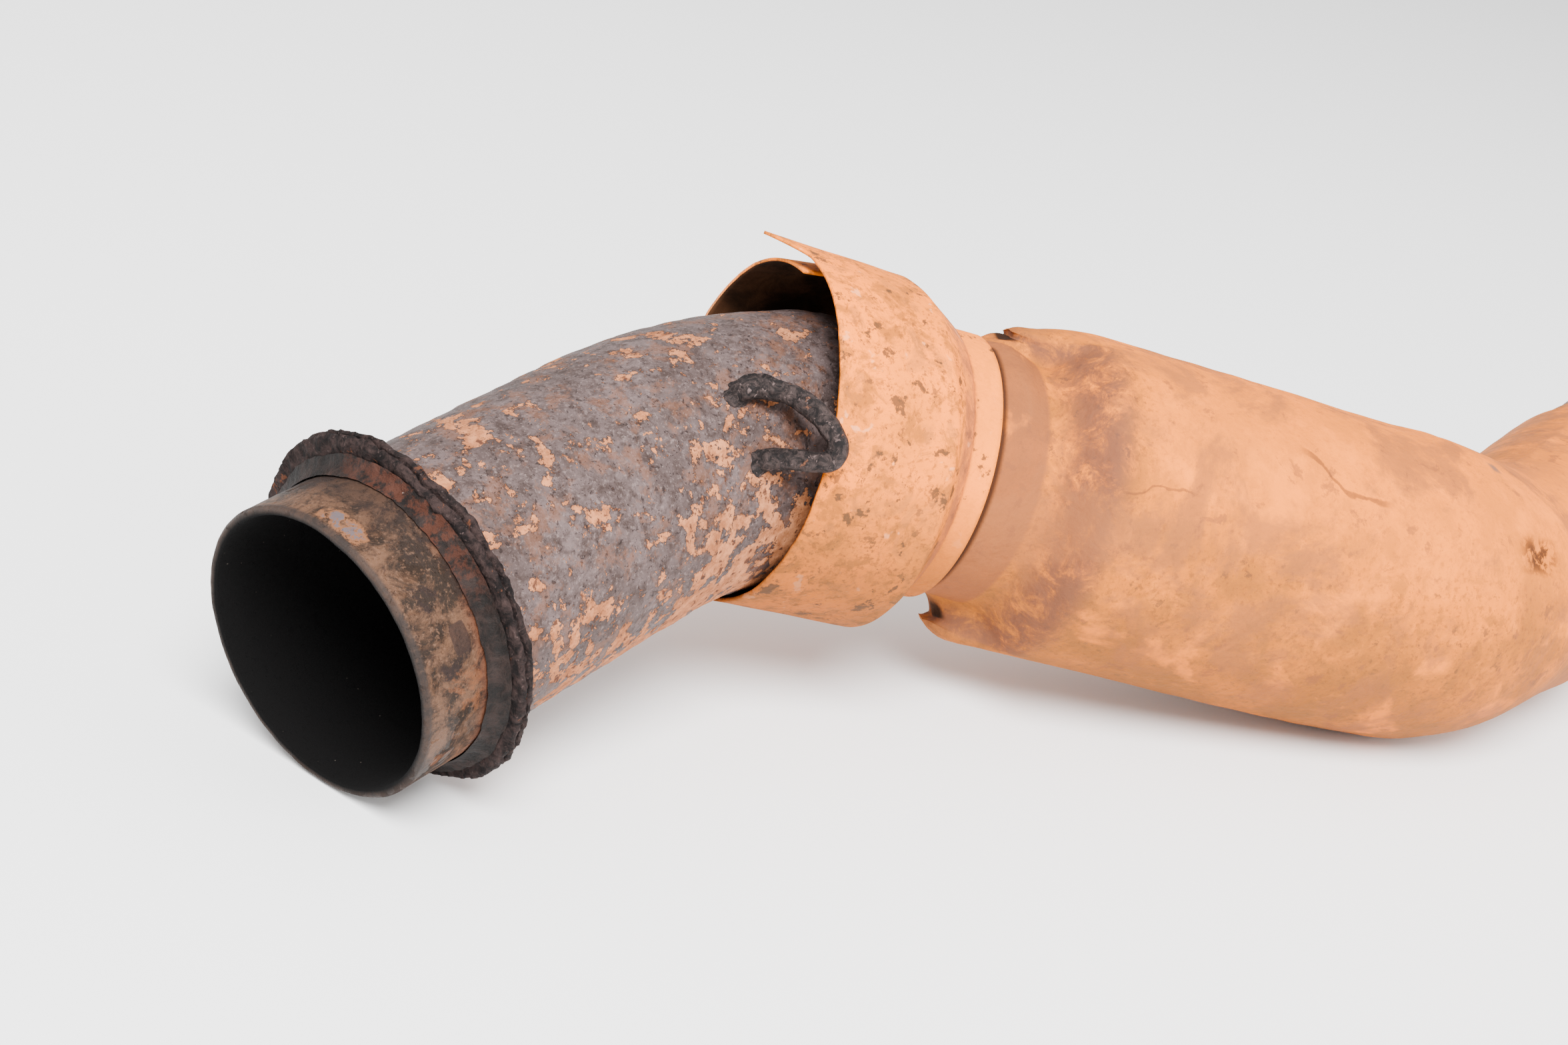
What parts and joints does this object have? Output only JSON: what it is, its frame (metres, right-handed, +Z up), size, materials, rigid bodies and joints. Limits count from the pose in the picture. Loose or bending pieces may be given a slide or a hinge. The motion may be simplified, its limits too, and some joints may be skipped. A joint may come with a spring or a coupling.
{
  "type": "exhaust front pipe",
  "caption": "Corroded exhaust front pipe: a bent steel tube with a rotted seat ring, a wire hanger and two sheet heat shields.",
  "frame": {"origin": "centre of the bounding box's base, on the floor it rests on", "axes": "+X from the inlet towards the tail, +Z up as the pipe lies at rest"},
  "size_m": [0.4332, 0.1228, 0.0885],
  "materials": {
    "pipe": "dark rust scale on steel, flaked to orange-tan rust in patches",
    "seat_ring": "deep laminated rust",
    "ring_weld": "red-brown rust",
    "hanger": "charcoal flaking scale",
    "front_shield": "heat-tanned sheet with stains",
    "rear_shield": "heat-tanned sheet with stains and creases"
  },
  "bodies": {
    "root": {"pipe": "pipe", "seat_ring": "seat_ring", "ring_weld": "ring_weld", "hanger": "hanger", "front_shield": "front_shield", "rear_shield": "rear_shield"}
  },
  "joints": []
}
